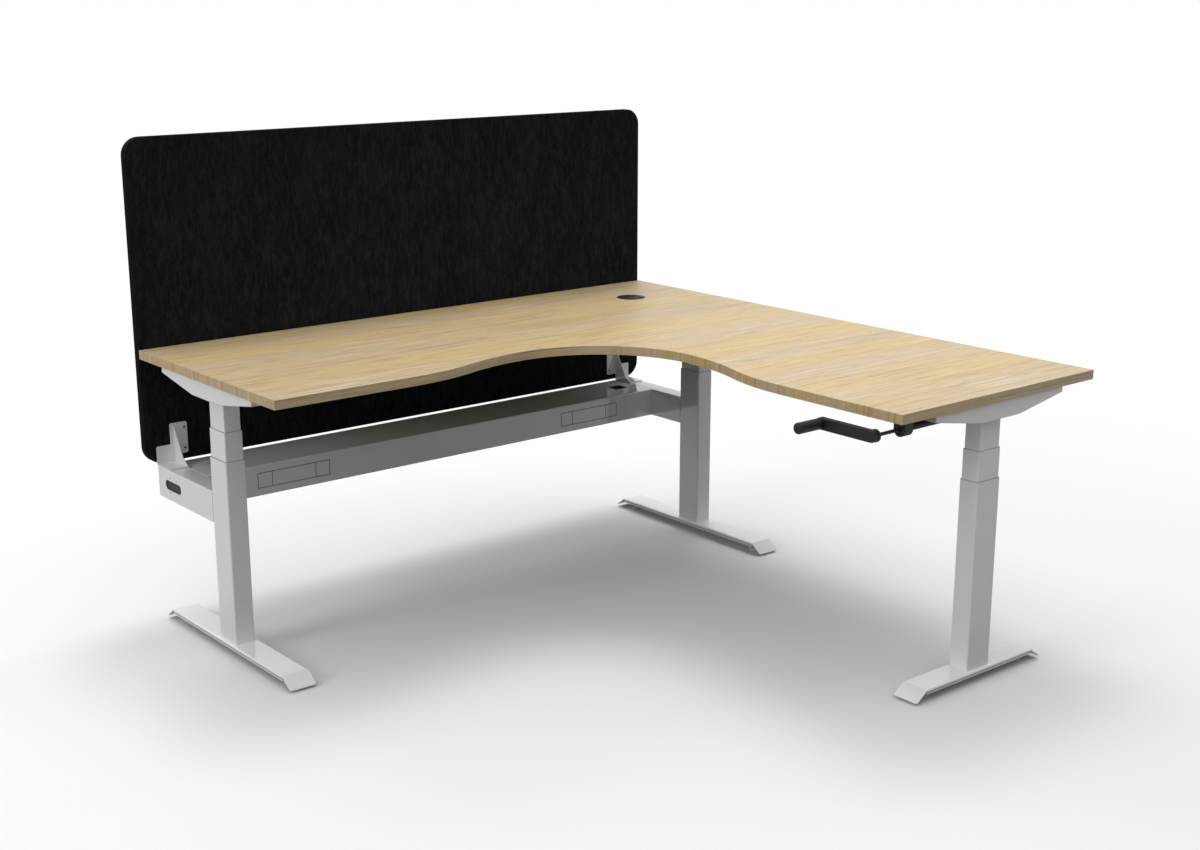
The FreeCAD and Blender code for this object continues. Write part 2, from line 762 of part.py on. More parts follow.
# Arm from the beam's end to the leg: folded channel, closed at its rear and against the leg
def beam_arm(leg, side):
    half = outer_tube_x / 2
    near = outer_tube_y / 2
    far = leg_line
    section = [(-half, beam_bottom, beam_bend), (-half, beam_top, beam_bend), (half, beam_top, beam_bend),
               (half, beam_bottom, beam_bend), (half - arm_lip, beam_bottom, 0),
               (half - arm_lip, beam_bottom + beam_sheet, 0), (half - beam_sheet, beam_bottom + beam_sheet, 0),
               (half - beam_sheet, beam_top - beam_sheet, 0), (beam_sheet - half, beam_top - beam_sheet, 0),
               (beam_sheet - half, beam_bottom + beam_sheet, 0), (arm_lip - half, beam_bottom + beam_sheet, 0),
               (arm_lip - half, beam_bottom, 0)]
    body = prism(section, "xz", near, far)
    closed = rounded_rectangle(outer_tube_x, beam_height, beam_bend, 0, (beam_top + beam_bottom) / 2)
    body = body.fuse(prism(closed, "xz", near, near + beam_sheet))
    body = body.fuse(prism(closed, "xz", far - beam_sheet, far))
    middle = (beam_top + beam_bottom) / 2
    window = sorted((side * (half - beam_sheet - cut_overrun), side * (half + cut_overrun)))
    window_middle = far - beam_depth / 2
    body = body.cut(box(window[0], window[1], window_middle - arm_window_depth / 2,
                        window_middle + arm_window_depth / 2, middle - arm_window_height / 2,
                        middle + arm_window_height / 2))
    if side > 0:
        plate = sorted((-half - cut_overrun, -half + beam_sheet + cut_overrun))
        slot = rounded_rectangle(slot_length, slot_height, slot_radius, far - slot_from_rear, middle)
        body = body.cut(prism(slot, "yz", plate[0], plate[1]))
        for a in (-1, 1):
            for b in (-1, 1):
                place = V(plate[0], far - slot_from_rear + a * plate_hole_spacing / 2,
                          middle + b * plate_hole_spacing / 2)
                body = body.cut(rod(plate_hole_radius, place, x_axis, plate[1] - plate[0]))
    return at_leg(body.removeSplitter(), leg)


def outer_tube():
    return tube_bar(outer_tube_x, outer_tube_y, tube_radius, foot_top, outer_tube_top)


def middle_tube():
    radius = tube_radius - tube_radius_step
    return tube_bar(middle_tube_x, middle_tube_y, radius, middle_tube_bottom, middle_tube_top)


def inner_tube():
    radius = tube_radius - 2 * tube_radius_step
    return tube_bar(inner_tube_x, inner_tube_y, radius, inner_tube_bottom, pan_bottom)


# Screen bracket: base on the arm, stepped back plate against the screen, gusset between them
def screen_bracket(side):
    start = beam_left if side > 0 else beam_right
    plate_back = rear_edge + screen_gap
    plate_front = plate_back - bracket_sheet

    def along(reach):
        return start + side * reach

    base_high = bracket_sheet
    corners = [(along(0), beam_top, 0), (along(0), beam_top + lobe_height, bracket_radius),
               (along(lobe_width), beam_top + lobe_height, bracket_radius / 2),
               (along(lobe_width), beam_top + bracket_height, bracket_radius),
               (along(bracket_width), beam_top + bracket_height, bracket_radius),
               (along(bracket_width), beam_top + flange_underside, bracket_radius),
               (along(web_inset + bracket_sheet), beam_top + flange_underside, 0),
               (along(web_inset + bracket_sheet), beam_top, 0)]
    body = prism(corners, "xz", plate_front, plate_back)
    web_front = rear_edge - web_depth
    web_top = beam_top + bracket_height - web_top_gap
    web = [(plate_front, beam_top, 0), (plate_front, web_top, 0),
           (rear_edge - web_toe, beam_top + web_toe_height, web_toe_height),
           (web_front, beam_top + base_high, 0), (web_front, beam_top, 0)]
    sides = sorted((along(web_inset), along(web_inset + bracket_sheet)))
    body = body.fuse(prism(web, "yz", sides[0], sides[1]))
    base = [(along(0), plate_back, 0), (along(web_inset + bracket_sheet), plate_back, 0),
            (along(web_inset + bracket_sheet), web_front, 0), (along(0), web_front, bracket_radius)]
    body = body.fuse(prism(base, "xy", beam_top, beam_top + base_high))
    return body.removeSplitter()


# One layer of the screen between two depths behind the rear edge, inset from the outline
def screen_layer(inset, near, far):
    middle = beam_top + screen_lift + screen_height / 2
    corners = rounded_rectangle(desk_length - 2 * inset, screen_height - 2 * inset, screen_radius - inset,
                                0, middle)
    return prism(corners, "xz", rear_edge + near, rear_edge + far)


def screen_parts():
    front = screen_gap + cover_thickness
    back = screen_gap + screen_thickness - cover_thickness
    opening = screen_layer(trim_thickness, front - cut_overrun, back + cut_overrun)
    return {"screen_core": screen_layer(trim_thickness, front, back),
            "screen_front_cover": screen_layer(0, screen_gap, front),
            "screen_back_cover": screen_layer(0, back, screen_gap + screen_thickness),
            "screen_edge_trim": screen_layer(0, front, back).cut(opening)}


def build_legs():
    for leg in legs:
        pieces = {"foot": foot(leg), "outer_tube": outer_tube(), "middle_tube": middle_tube(),
                  "inner_tube": inner_tube(), "carrier": carrier(), "hollow_screw": hollow_screw(),
                  "upper_screw": upper_screw(), "side_bracket": pan(leg)}
        for piece, shape in pieces.items():
            save(at_leg(shape, leg), leg["name"] + "_" + piece)
    save_group([at_leg(glide(place), leg) for leg in legs for place in glide_places(leg)], "levelling_glides")
    save_group([at_leg(pillar(), leg) for leg in legs], "screw_pillars")
    save_group([at_leg(pillar_nut(), leg) for leg in legs], "pillar_nuts")
    save_group([at_leg(outer_guide(), leg) for leg in legs], "outer_guides")
    save_group([at_leg(inner_guide(), leg) for leg in legs], "inner_guides")
    save_group([at_leg(gearbox(leg), leg) for leg in legs], "leg_gearboxes")


def build_top():
    save(desktop_board(), "desktop")
    save(edge_band(), "desktop_edge_band")
    save(port_ring(), "cable_port_ring")
    save(port_lid(), "cable_port_lid")
    runs = rail_runs()
    save_group([rail(run) for run in runs[:2]], "long_rails")
    save_group([rail(run) for run in runs[2:]], "wing_rails")
    save(mitre_gearbox(), "mitre_gearbox")
    save(long_rod(), "long_drive_rod")
    save(wing_rod(), "wing_drive_rod")


def build_crank():
    save(crank_tube(), "crank_drive_tube")
    save(crank_bearing(), "crank_bearing")
    save(crank_rod(), "crank_rod")
    save(crank_arm(), "crank_arm")
    save(grip_pin(), "crank_grip_pin")
    save(crank_grip(), "crank_grip")


def build_beam_and_screen():
    save(cable_beam(), "cable_beam")
    save_group(blanks(), "module_blanks")
    save(beam_arm(left_leg, 1), "left_arm")
    save(beam_arm(corner_leg, -1), "right_arm")
    save(screen_bracket(1), "left_screen_bracket")
    save(screen_bracket(-1), "right_screen_bracket")
    for name, shape in screen_parts().items():
        save(shape, name)


build_legs()
build_top()
build_crank()
build_beam_and_screen()
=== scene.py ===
import bpy
import bmesh
import math
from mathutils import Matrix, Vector


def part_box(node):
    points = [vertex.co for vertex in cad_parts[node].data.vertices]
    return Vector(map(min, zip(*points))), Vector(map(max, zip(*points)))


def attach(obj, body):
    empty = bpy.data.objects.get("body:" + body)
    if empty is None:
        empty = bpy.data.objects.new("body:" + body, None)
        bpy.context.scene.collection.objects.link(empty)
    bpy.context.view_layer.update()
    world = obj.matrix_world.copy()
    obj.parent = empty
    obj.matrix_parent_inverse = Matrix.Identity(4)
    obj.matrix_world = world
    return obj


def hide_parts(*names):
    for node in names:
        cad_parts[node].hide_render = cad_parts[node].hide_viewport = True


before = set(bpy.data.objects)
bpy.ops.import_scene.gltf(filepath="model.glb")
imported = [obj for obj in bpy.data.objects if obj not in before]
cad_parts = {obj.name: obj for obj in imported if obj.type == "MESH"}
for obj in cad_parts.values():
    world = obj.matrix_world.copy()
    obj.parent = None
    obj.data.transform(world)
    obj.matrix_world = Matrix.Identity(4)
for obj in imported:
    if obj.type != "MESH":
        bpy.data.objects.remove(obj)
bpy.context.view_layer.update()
print("frame loaded:", len(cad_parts), "CAD nodes")

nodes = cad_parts
screenLow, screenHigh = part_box("screen_front_cover")
beamLow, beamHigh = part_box("cable_beam")
legs = ("left", "corner", "right")
mm = 0.001


# Colours are written as they look on a screen, 0 to 255
def paint(red, green, blue):
    def linear(value):
        value = value / 255
        return value / 12.92 if value <= 0.04045 else ((value + 0.055) / 1.055) ** 2.4
    return (linear(red), linear(green), linear(blue), 1.0)


# A socket that can be written into shader maths: every operator adds one Math node
class Wire:
    def __init__(self, finish, socket):
        self.finish = finish
        self.socket = socket

    def maths(self, operation, first, second=0.0):
        return self.finish.add("ShaderNodeMath", {"operation": operation}, {0: first, 1: second})

    def __add__(self, other):
        return self.maths("ADD", self, other)

    def __sub__(self, other):
        return self.maths("SUBTRACT", self, other)

    def __rsub__(self, other):
        return self.maths("SUBTRACT", other, self)

    def __mul__(self, other):
        return self.maths("MULTIPLY", self, other)

    def __gt__(self, other):
        return self.maths("GREATER_THAN", self, other)

    def __abs__(self):
        return self.maths("ABSOLUTE", self)

    def larger(self, other):
        return self.maths("MAXIMUM", self, other)

    # 0 below start, 1 above end, smooth between
    def rise(self, start, end):
        return self.finish.add("ShaderNodeMapRange", {"interpolation_type": "SMOOTHSTEP"},
                               {"Value": self, "From Min": start, "From Max": end})

    __radd__ = __add__
    __rmul__ = __mul__


# A material under construction
class Finish:
    def __init__(self, name, world=None):
        self.material = world or bpy.data.materials.new(name)
        self.material.use_nodes = True
        self.tree = self.material.node_tree
        self.tree.nodes.clear()
        self.place = self.add("ShaderNodeTexCoord", output="Object")

    # Adds a node: its settings first, then the values or wires of its sockets
    def add(self, kind, settings=None, sockets=None, output=0):
        node = self.tree.nodes.new(kind)
        for key, value in (settings or {}).items():
            setattr(node, key, value)
        for key, value in (sockets or {}).items():
            if isinstance(value, Wire):
                self.tree.links.new(value.socket, node.inputs[key])
            else:
                node.inputs[key].default_value = value
        return Wire(self, node.outputs[output])

    # Noise with its own scale along each axis
    def noise(self, scales, detail=2.0, roughness=0.5, distortion=0.0):
        stretched = self.add("ShaderNodeVectorMath", {"operation": "MULTIPLY"}, {0: self.place, 1: scales})
        return self.add("ShaderNodeTexNoise", None,
                        {"Vector": stretched, "Scale": 1.0, "Detail": detail, "Roughness": roughness,
                         "Distortion": distortion})

    def evenNoise(self, scale, detail=2.0):
        return self.noise((scale, scale, scale), detail)

    # A layer of a pattern: its noise, cut to where it starts and is full
    def layer(self, values):
        return self.noise(*values["noise"]).rise(*values["rise"])

    # The three numbers of a vector
    def parts(self, vector):
        first = self.add("ShaderNodeSeparateXYZ", None, {"Vector": vector})
        return [Wire(self, socket) for socket in first.socket.node.outputs]

    def blend(self, share, first, second, way="MIX"):
        return self.add("ShaderNodeMix", {"data_type": "RGBA", "blend_type": way},
                        {0: share, 6: first, 7: second}, output=2)

    def bump(self, height, distance, strength=1.0):
        return self.add("ShaderNodeBump", None,
                        {"Height": height, "Distance": distance, "Strength": strength})

    def surface(self, **sockets):
        named = {key.replace("_", " "): value for key, value in sockets.items()}
        return self.add("ShaderNodeBsdfPrincipled", None, named, output="BSDF")

    # Links the shader to the output node of a material or of the world
    def close(self, shader, kind="ShaderNodeOutputMaterial"):
        last = self.tree.nodes.new(kind)
        self.tree.links.new(shader.socket, last.inputs["Surface"])
        return self.material


coatValues = {
    "white": paint(243, 243, 243),
    "shaded": paint(238, 238, 238),
    "cloudScale": 3.0,
    "roughness": 0.07,
    "roughnessSpread": 0.05,
    "lacquer": 0.3,
    "peelSize": 1.6 * mm,
    "peelDepth": 0.018 * mm,
}


# White powder coat under a thin clear one, with a very fine orange peel
def powderCoat():
    finish = Finish("white powder coat")
    cloud = finish.evenNoise(coatValues["cloudScale"], 3.0)
    colour = finish.blend(cloud, coatValues["shaded"], coatValues["white"])
    peel = finish.evenNoise(1 / coatValues["peelSize"], 1.0)
    roughness = coatValues["roughness"] + (cloud - 0.5) * coatValues["roughnessSpread"]
    shader = finish.surface(Base_Color=colour, Roughness=roughness, Coat_Weight=coatValues["lacquer"],
                            Coat_Roughness=coatValues["roughness"],
                            Normal=finish.bump(peel, coatValues["peelDepth"]))
    return finish.close(shader)


# Shine is the specular level; the grain's size and depth are real ones
plastics = {
    "white_plastic": {
        "name": "white plastic", "dark": paint(224, 225, 223), "light": paint(233, 234, 232),
        "roughness": 0.4, "shine": 0.5, "grainSize": 1.2 * mm, "grainDepth": 0.02 * mm,
    },
    "clear_plastic": {
        "name": "pale glide plastic", "dark": paint(202, 203, 198), "light": paint(222, 223, 218),
        "roughness": 0.3, "shine": 0.5, "grainSize": 2.0 * mm, "grainDepth": 0.02 * mm,
    },
    "dark_plastic": {
        "name": "black plastic", "dark": paint(25, 25, 26), "light": paint(35, 35, 37),
        "roughness": 0.5, "shine": 0.25, "grainSize": 0.7 * mm, "grainDepth": 0.04 * mm,
    },
    "port_plastic": {
        "name": "port plastic", "dark": paint(27, 22, 19), "light": paint(37, 31, 27),
        "roughness": 0.45, "shine": 0.25, "grainSize": 0.9 * mm, "grainDepth": 0.03 * mm,
    },
    "wiper_rubber": {
        "name": "wiper rubber", "dark": paint(92, 92, 92), "light": paint(108, 108, 108),
        "roughness": 0.8, "shine": 0.2, "grainSize": 0.9 * mm, "grainDepth": 0.03 * mm,
    },
    "edge_trim": {
        "name": "black woven trim", "dark": paint(11, 11, 12), "light": paint(20, 20, 22),
        "roughness": 0.9, "shine": 0.05, "grainSize": 0.6 * mm, "grainDepth": 0.1 * mm,
    },
}
plasticCloud = {"scale": 14.0, "roughnessSpread": 0.12}


# A moulded plastic with a fine grain
def mouldedPlastic(values):
    finish = Finish(values["name"])
    cloud = finish.evenNoise(plasticCloud["scale"], 3.0)
    colour = finish.blend(cloud, values["dark"], values["light"])
    grain = finish.evenNoise(1 / values["grainSize"])
    roughness = values["roughness"] + (cloud - 0.5) * plasticCloud["roughnessSpread"]
    shader = finish.surface(Base_Color=colour, Roughness=roughness, Specular_IOR_Level=values["shine"],
                            Normal=finish.bump(grain, values["grainDepth"]))
    return finish.close(shader)


metals = {
    "bright_steel": {
        "name": "zinc plated steel", "dark": paint(150, 152, 155), "light": paint(188, 189, 190),
        "roughness": 0.34, "metallic": 1.0, "drawnScales": (60.0, 900.0, 900.0),
    },
    "black_steel": {
        "name": "blackened steel", "dark": paint(24, 24, 25), "light": paint(38, 38, 40),
        "roughness": 0.42, "metallic": 0.3, "drawnScales": (60.0, 700.0, 700.0),
    },
    "cast_housing": {
        "name": "cast housing", "dark": paint(96, 98, 100), "light": paint(122, 124, 126),
        "roughness": 0.55, "metallic": 0.8, "drawnScales": (500.0, 500.0, 500.0),
    },
}
metalTexture = {"cloudScale": 9.0, "roughnessSpread": 0.16, "depth": 0.02 * mm}


# A worked metal: rolled, blackened or cast
def workedMetal(values):
    finish = Finish(values["name"])
    drawn = finish.noise(values["drawnScales"], 3.0)
    cloud = finish.evenNoise(metalTexture["cloudScale"])
    colour = finish.blend(cloud, values["dark"], values["light"])
    roughness = values["roughness"] + (drawn - 0.5) * metalTexture["roughnessSpread"]
    shader = finish.surface(Base_Color=colour, Metallic=values["metallic"], Roughness=roughness,
                            Normal=finish.bump(drawn, metalTexture["depth"]))
    return finish.close(shader)


laminateValues = {
    "yellow": paint(211, 186, 134),
    "pink": paint(206, 184, 150),
    "streak": paint(146, 120, 86),
    "pale": paint(238, 225, 202),
    "endPaintedShade": paint(249, 246, 242),
    "sideStretch": 2.6,
    "roughness": 0.46,
    "poreRoughness": 0.12,
    "poreDepth": 0.02 * mm,
    "poreStrength": 0.5,
    "shine": 0.36,
}

# Noise is scales along X, Y and Z, detail, roughness, distortion; rise is where a layer starts and is full
grainLayers = {
    "golden": {"noise": ((0.45, 5.6, 0.0), 2.0, 0.5, 0.2), "rise": (0.4, 0.6)},
    "flame": {"noise": ((0.9, 17.0, 0.0), 4.0, 0.65, 0.8), "rise": (0.5, 0.76), "share": 0.36},
    "pale": {"noise": ((2.2, 58.0, 0.0), 4.0, 0.75, 0.3), "rise": (0.55, 0.66), "share": 0.6,
             "lessOnGolden": 0.3},
    "line": {"noise": ((2.6, 76.0, 0.0), 4.0, 0.78, 0.3), "rise": (0.55, 0.63), "share": 0.5,
             "moreOnSides": 0.6},
    "fine": {"noise": ((8.0, 240.0, 0.0), 3.0, 0.7), "rise": (0.5, 0.66), "share": 0.4},
    "pore": {"noise": ((26.0, 760.0, 0.0), 2.0, 0.6), "rise": (0.58, 0.76), "share": 0.35},
}


# Printed oak, its grain along X; on the edge band the ends carry the top's stripes under a little painted
# shade and the long sides run in streaks
def oakLaminate(name, banded):
    finish = Finish(name)
    if banded:
        side = finish.add("ShaderNodeTexCoord", output="Normal")
        across, along, up = finish.parts(side)
        x, y, z = finish.parts(finish.place)
        upright = 1 - abs(up).rise(0.6, 0.8)
        longSide = (abs(along) > abs(across)) * upright
        level = y + longSide * (z * laminateValues["sideStretch"] - y)
        finish.place = finish.add("ShaderNodeCombineXYZ", None, {"X": x, "Y": level})
    golden = finish.layer(grainLayers["golden"])
    colour = finish.blend(golden, laminateValues["pink"], laminateValues["yellow"])
    flame = grainLayers["flame"]
    colour = finish.blend(finish.layer(flame) * flame["share"], colour, laminateValues["streak"])
    pale = grainLayers["pale"]
    paleShare = finish.layer(pale) * (pale["share"] - golden * pale["lessOnGolden"])
    colour = finish.blend(paleShare, colour, laminateValues["pale"])
    line = grainLayers["line"]
    lineShare = finish.layer(line) * line["share"]
    if banded:
        lineShare = lineShare * (1 + longSide * line["moreOnSides"])
    colour = finish.blend(lineShare, colour, laminateValues["streak"])
    fine = grainLayers["fine"]
    colour = finish.blend(finish.layer(fine) * fine["share"], colour, laminateValues["streak"])
    pore = finish.noise(*grainLayers["pore"]["noise"])
    poreShare = pore.rise(*grainLayers["pore"]["rise"])
    colour = finish.blend(poreShare * grainLayers["pore"]["share"], colour, laminateValues["streak"])
    # On the edge band the end faces are darkened a little: painted shade
    if banded:
        colour = finish.blend(upright - longSide, colour, laminateValues["endPaintedShade"], "MULTIPLY")
    roughness = laminateValues["roughness"] + poreShare * laminateValues["poreRoughness"]
    relief = finish.bump(pore, laminateValues["poreDepth"], laminateValues["poreStrength"])
    shader = finish.surface(Base_Color=colour, Roughness=roughness, Specular_IOR_Level=laminateValues["shine"],
                            Normal=relief)
    return finish.close(shader)


feltValues = {
    "dark": paint(15, 16, 19),
    "light": paint(51, 53, 58),
    "tint": paint(24, 34, 36),
    "fleck": paint(82, 84, 88),
    "leastLight": 0.06,
    "tintRise": (0.56, 0.66),
    "tintShare": 0.3,
    "fleckRise": (0.68, 0.76),
    "fleckShare": 0.4,
    "shine": 0.06,
    "fibreDepth": 0.35 * mm,
}

# Rise and share are of the light colour, height is of the relief
feltLayers = {
    "lock": {"noise": ((86.0, 86.0, 27.0), 5.0, 0.7, 0.6), "rise": (0.38, 0.68), "share": 0.4,
             "height": 0.3},
    "fibre": {"noise": ((520.0, 520.0, 60.0), 3.0, 0.7, 0.8), "rise": (0.35, 0.75), "share": 0.25,
              "height": 0.4},
    "patch": {"noise": ((11.0, 11.0, 4.5), 4.0, 0.6), "rise": (0.35, 0.65), "share": 0.1},
    "mat": {"noise": ((240.0, 240.0, 160.0), 3.0, 0.6), "height": 0.3},
}


# Pressed wool felt: matted fibres that lie mostly upright, in faint patches
def pressedFelt():
    finish = Finish("black wool felt")
    wool = {name: finish.noise(*values["noise"]) for name, values in feltLayers.items()}
    light = sum((wool[name].rise(*feltLayers[name]["rise"]) * feltLayers[name]["share"]
                 for name in ("lock", "fibre", "patch")), feltValues["leastLight"])
    colour = finish.blend(light, feltValues["dark"], feltValues["light"])
    tint = wool["patch"].rise(*feltValues["tintRise"]) * feltValues["tintShare"]
    colour = finish.blend(tint, colour, feltValues["tint"])
    fleck = wool["mat"].rise(*feltValues["fleckRise"]) * feltValues["fleckShare"]
    colour = finish.blend(fleck, colour, feltValues["fleck"])
    height = sum(wool[name] * feltLayers[name]["height"] for name in ("fibre", "mat", "lock"))
    shader = finish.surface(Base_Color=colour, Roughness=1.0, Specular_IOR_Level=feltValues["shine"],
                            Normal=finish.bump(height, feltValues["fibreDepth"]))
    return finish.close(shader)


boardValues = {
    "dark": paint(92, 78, 60),
    "light": paint(140, 120, 92),
    "roughness": 0.9,
    "chipScale": 700.0,
    "chipRise": (0.35, 0.65),
    "chipDepth": 0.2 * mm,
}


# Pressed board inside the screen, under the felt
def pressedBoard():
    finish = Finish("pressed board")
    chip = finish.evenNoise(boardValues["chipScale"])
    colour = finish.blend(chip.rise(*boardValues["chipRise"]), boardValues["dark"], boardValues["light"])
    shader = finish.surface(Base_Color=colour, Roughness=boardValues["roughness"],
                            Normal=finish.bump(chip, boardValues["chipDepth"]))
    return finish.close(shader)


finishes = {
    "white_steel": powderCoat(),
    "oak_laminate": oakLaminate("oak laminate", False),
    "oak_edge": oakLaminate("oak edge band", True),
    "screen_board": pressedBoard(),
    "black_felt": pressedFelt(),
}
finishes.update({slotName: mouldedPlastic(values) for slotName, values in plastics.items()})
finishes.update({slotName: workedMetal(values) for slotName, values in metals.items()})
print("finishes made:", len(finishes))


edgeValues = {"weld": 0.01 * mm, "clearance": 0.5 * mm, "flatAngle": 1, "sharpAngle": 35}


# Welds the seams between a node's faces and forgets its imported shading. Given a neighbour, it marks the
# edges that are clear of it
def makeSeamless(name, keepClearOf=None):
    group = bpy.data.node_groups.new(name, "GeometryNodeTree")
    for way in ("INPUT", "OUTPUT"):
        group.interface.new_socket("Geometry", in_out=way, socket_type="NodeSocketGeometry")
    start = group.nodes.new("NodeGroupInput")
    weld = group.nodes.new("GeometryNodeMergeByDistance")
    weld.inputs["Distance"].default_value = edgeValues["weld"]
    forget = group.nodes.new("GeometryNodeRemoveAttribute")
    forget.inputs["Name"].default_value = "custom_normal"
    faces = group.nodes.new("GeometryNodeSetShadeSmooth")
    faces.domain = "FACE"
    edges = group.nodes.new("GeometryNodeSetShadeSmooth")
    edges.domain = "EDGE"
    chain = [start, weld, forget, faces, edges]
    if keepClearOf:
        mark = group.nodes.new("GeometryNodeStoreNamedAttribute")
        mark.domain = "EDGE"
        mark.inputs["Name"].default_value = "bevel_weight_edge"
        other = group.nodes.new("GeometryNodeObjectInfo")
        other.inputs["Object"].default_value = keepClearOf
        near = group.nodes.new("GeometryNodeProximity")
        near.target_element = "FACES"
        group.links.new(other.outputs["Geometry"], near.inputs[0])
        free = group.nodes.new("FunctionNodeCompare")
        free.inputs["B"].default_value = edgeValues["clearance"]
        group.links.new(near.outputs["Distance"], free.inputs["A"])
        group.links.new(free.outputs["Result"], mark.inputs["Value"])
        chain.append(mark)
    chain.append(group.nodes.new("NodeGroupOutput"))
    for before, after in zip(chain, chain[1:]):
        group.links.new(before.outputs["Geometry"] if before is not start else before.outputs[0],
                        after.inputs["Geometry"] if after is not chain[-1] else after.inputs[0])
    return group


# Rounds the sharp edges of a piece, by angle or only where they are marked
def roundEdges(piece, group, width, segments=2, limit="ANGLE"):
    clean = piece.modifiers.new("seamless", "NODES")
    clean.node_group = group
    flat = piece.modifiers.new("flat faces", "DECIMATE")
    flat.decimate_type = "DISSOLVE"
    flat.angle_limit = math.radians(edgeValues["flatAngle"])
    bevel = piece.modifiers.new("rounded edges", "BEVEL")
    bevel.width = width
    bevel.segments = segments
    bevel.limit_method = limit
    bevel.angle_limit = math.radians(edgeValues["sharpAngle"])
    bevel.use_clamp_overlap = False
    even = piece.modifiers.new("even shading", "WEIGHTED_NORMAL")
    even.keep_sharp = False


# By the ending of a node's name
edgeRadii = {
    "_tube": 0.3 * mm,
    "_side_bracket": 0.5 * mm,
    "_arm": 0.4 * mm,
    "_screen_bracket": 0.5 * mm,
    "cable_beam": 0.4 * mm,
    "outer_guides": 0.3 * mm,
    "leg_gearboxes": 0.8 * mm,
    "mitre_gearbox": 0.8 * mm,
    "crank_bearing": 0.6 * mm,
    "crank_grip": 0.8 * mm,
    "module_blanks": 0.2 * mm,
    "_rails": 0.3 * mm,
}
bandArris = 1.0 * mm

# Nodes whose finish is their own and not their slot's
ownFinishes = {
    "screen_edge_trim": "edge_trim",
    "cable_port_lid": "port_plastic",
    "cable_port_ring": "port_plastic",
}

seamless = makeSeamless("seamless")
for name, piece in nodes.items():
    slotName = piece.material_slots[0].material.name.split(".")[0]
    finish = finishes[ownFinishes.get(name, slotName)]
    for holder in piece.material_slots:
        holder.material = finish
    for ending, radius in edgeRadii.items():
        if name.endswith(ending):
            roundEdges(piece, seamless, radius)
            break
seamlessBand = makeSeamless("seamless band", nodes["desktop"])
roundEdges(nodes["desktop_edge_band"], seamlessBand, bandArris, 3, "WEIGHT")
print("CAD nodes finished")


# Makes a bmesh into a piece that rides on a body
def meshPiece(name, shape, body, slotName, finishName=None):
    bmesh.ops.remove_doubles(shape, verts=shape.verts, dist=0.001 * mm)
    bmesh.ops.recalc_face_normals(shape, faces=shape.faces)
    mesh = bpy.data.meshes.new(name)
    shape.to_mesh(mesh)
    shape.free()
    piece = bpy.data.objects.new(name, mesh)
    bpy.context.scene.collection.objects.link(piece)
    mesh.materials.append(finishes[finishName or slotName])
    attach(piece, body)
    return piece


def smoothShade(piece, angle=35):
    mesh = piece.data
    mesh.polygons.foreach_set("use_smooth", [True] * len(mesh.polygons))
    mesh.set_sharp_from_angle(angle=math.radians(angle))


# The axis that a leg or foot is longer along, 0 for X and 1 for Y
def longAxis(low, high):
    return 0 if high.x - low.x > high.y - low.y else 1


# Turns a profile of (radius, height, sides) about an axis; sides makes that ring a polygon
def turned(shape, profile, place, axis, segments=24):
    turn = Vector((0, 0, 1)).rotation_difference(Vector(axis)).to_matrix()
    rings = []
    for radius, height, sides in profile:
        ring = []
        for count in range(segments if radius > 0 else 1):
            angle = 2 * math.pi * count / segments
            reach = radius
            if sides:
                half = math.pi / sides
                reach = radius / math.cos((angle + half) % (2 * half) - half)
            point = turn @ Vector((reach * math.cos(angle), reach * math.sin(angle), height))
            ring.append(shape.verts.new(Vector(place) + point))
        rings.append(ring)
    for lower, upper in zip(rings, rings[1:]):
        for count in range(segments):
            after = (count + 1) % segments
            corners = [lower[count % len(lower)], lower[after % len(lower)], upper[after % len(upper)],
                       upper[count % len(upper)]]
            shape.faces.new(list(dict.fromkeys(corners)))
    if len(rings[0]) > 1:
        shape.faces.new(rings[0][::-1])


# A closed loop round a rectangle with rounded corners, about a middle
def roundedLoop(middle, halfA, halfB, radius, steps=6):
    loop = []
    for corner, (a, b) in enumerate(((1, 1), (-1, 1), (-1, -1), (1, -1))):
        for step in range(steps + 1):
            angle = (corner + step / steps) * math.pi / 2
            loop.append((middle[0] + a * (halfA - radius) + radius * math.cos(angle),
                         middle[1] + b * (halfB - radius) + radius * math.sin(angle)))
    return loop


# Joins loops of the same count one after another; the last joins the first where the piece is a ring
def lofted(shape, loops, closed=False, capped=False):
    rings = [[shape.verts.new(point) for point in loop] for loop in loops]
    pairs = list(zip(rings, rings[1:])) + ([(rings[-1], rings[0])] if closed else [])
    for first, second in pairs:
        for index in range(len(first)):
            after = (index + 1) % len(first)
            shape.faces.new((first[index], first[after], second[after], second[index]))
    if capped:
        shape.faces.new(rings[0])
        shape.faces.new(rings[-1][::-1])


screwSizes = {
    "bracket": {"head": 3.2 * mm, "height": 1.8 * mm, "socket": 1.3 * mm},
    "panel": {"head": 4.2 * mm, "height": 2.4 * mm, "socket": 1.6 * mm},
    "foot": {"head": 6.5 * mm, "height": 3.6 * mm, "socket": 2.5 * mm},
    "plug": {"head": 4.0 * mm, "height": 0.6 * mm, "socket": 1.2 * mm},
}
# The first three are shares of a screw's height, the others of its socket
screwShares = {"floor": 0.35, "shoulder": 0.15, "socketTop": 0.96,
               "rim": 1.3, "domeEnd": 1.4, "taper": 0.96}


# Dome-headed screw with a hexagon socket
def screwProfile(size):
    head = size["head"]
    height = size["height"]
    socket = size["socket"]
    floor = height * screwShares["floor"]
    shoulder = screwShares["shoulder"]
    lastAngle = 5 * math.pi / 12
    dome = [(head, 0.0, 0)]
    for step in range(1, 6):
        angle = lastAngle * step / 5
        lift = shoulder + (1 - shoulder) * math.sin(angle) / math.sin(lastAngle)
        dome.append((head * math.cos(angle), height * lift, 0))
    rim = [(socket * screwShares["rim"], height, 0), (socket, height * screwShares["socketTop"], 6),
           (socket * screwShares["taper"], floor, 6), (0.0, floor, 0)]
    return [point for point in dome if point[0] > socket * screwShares["domeEnd"]] + rim


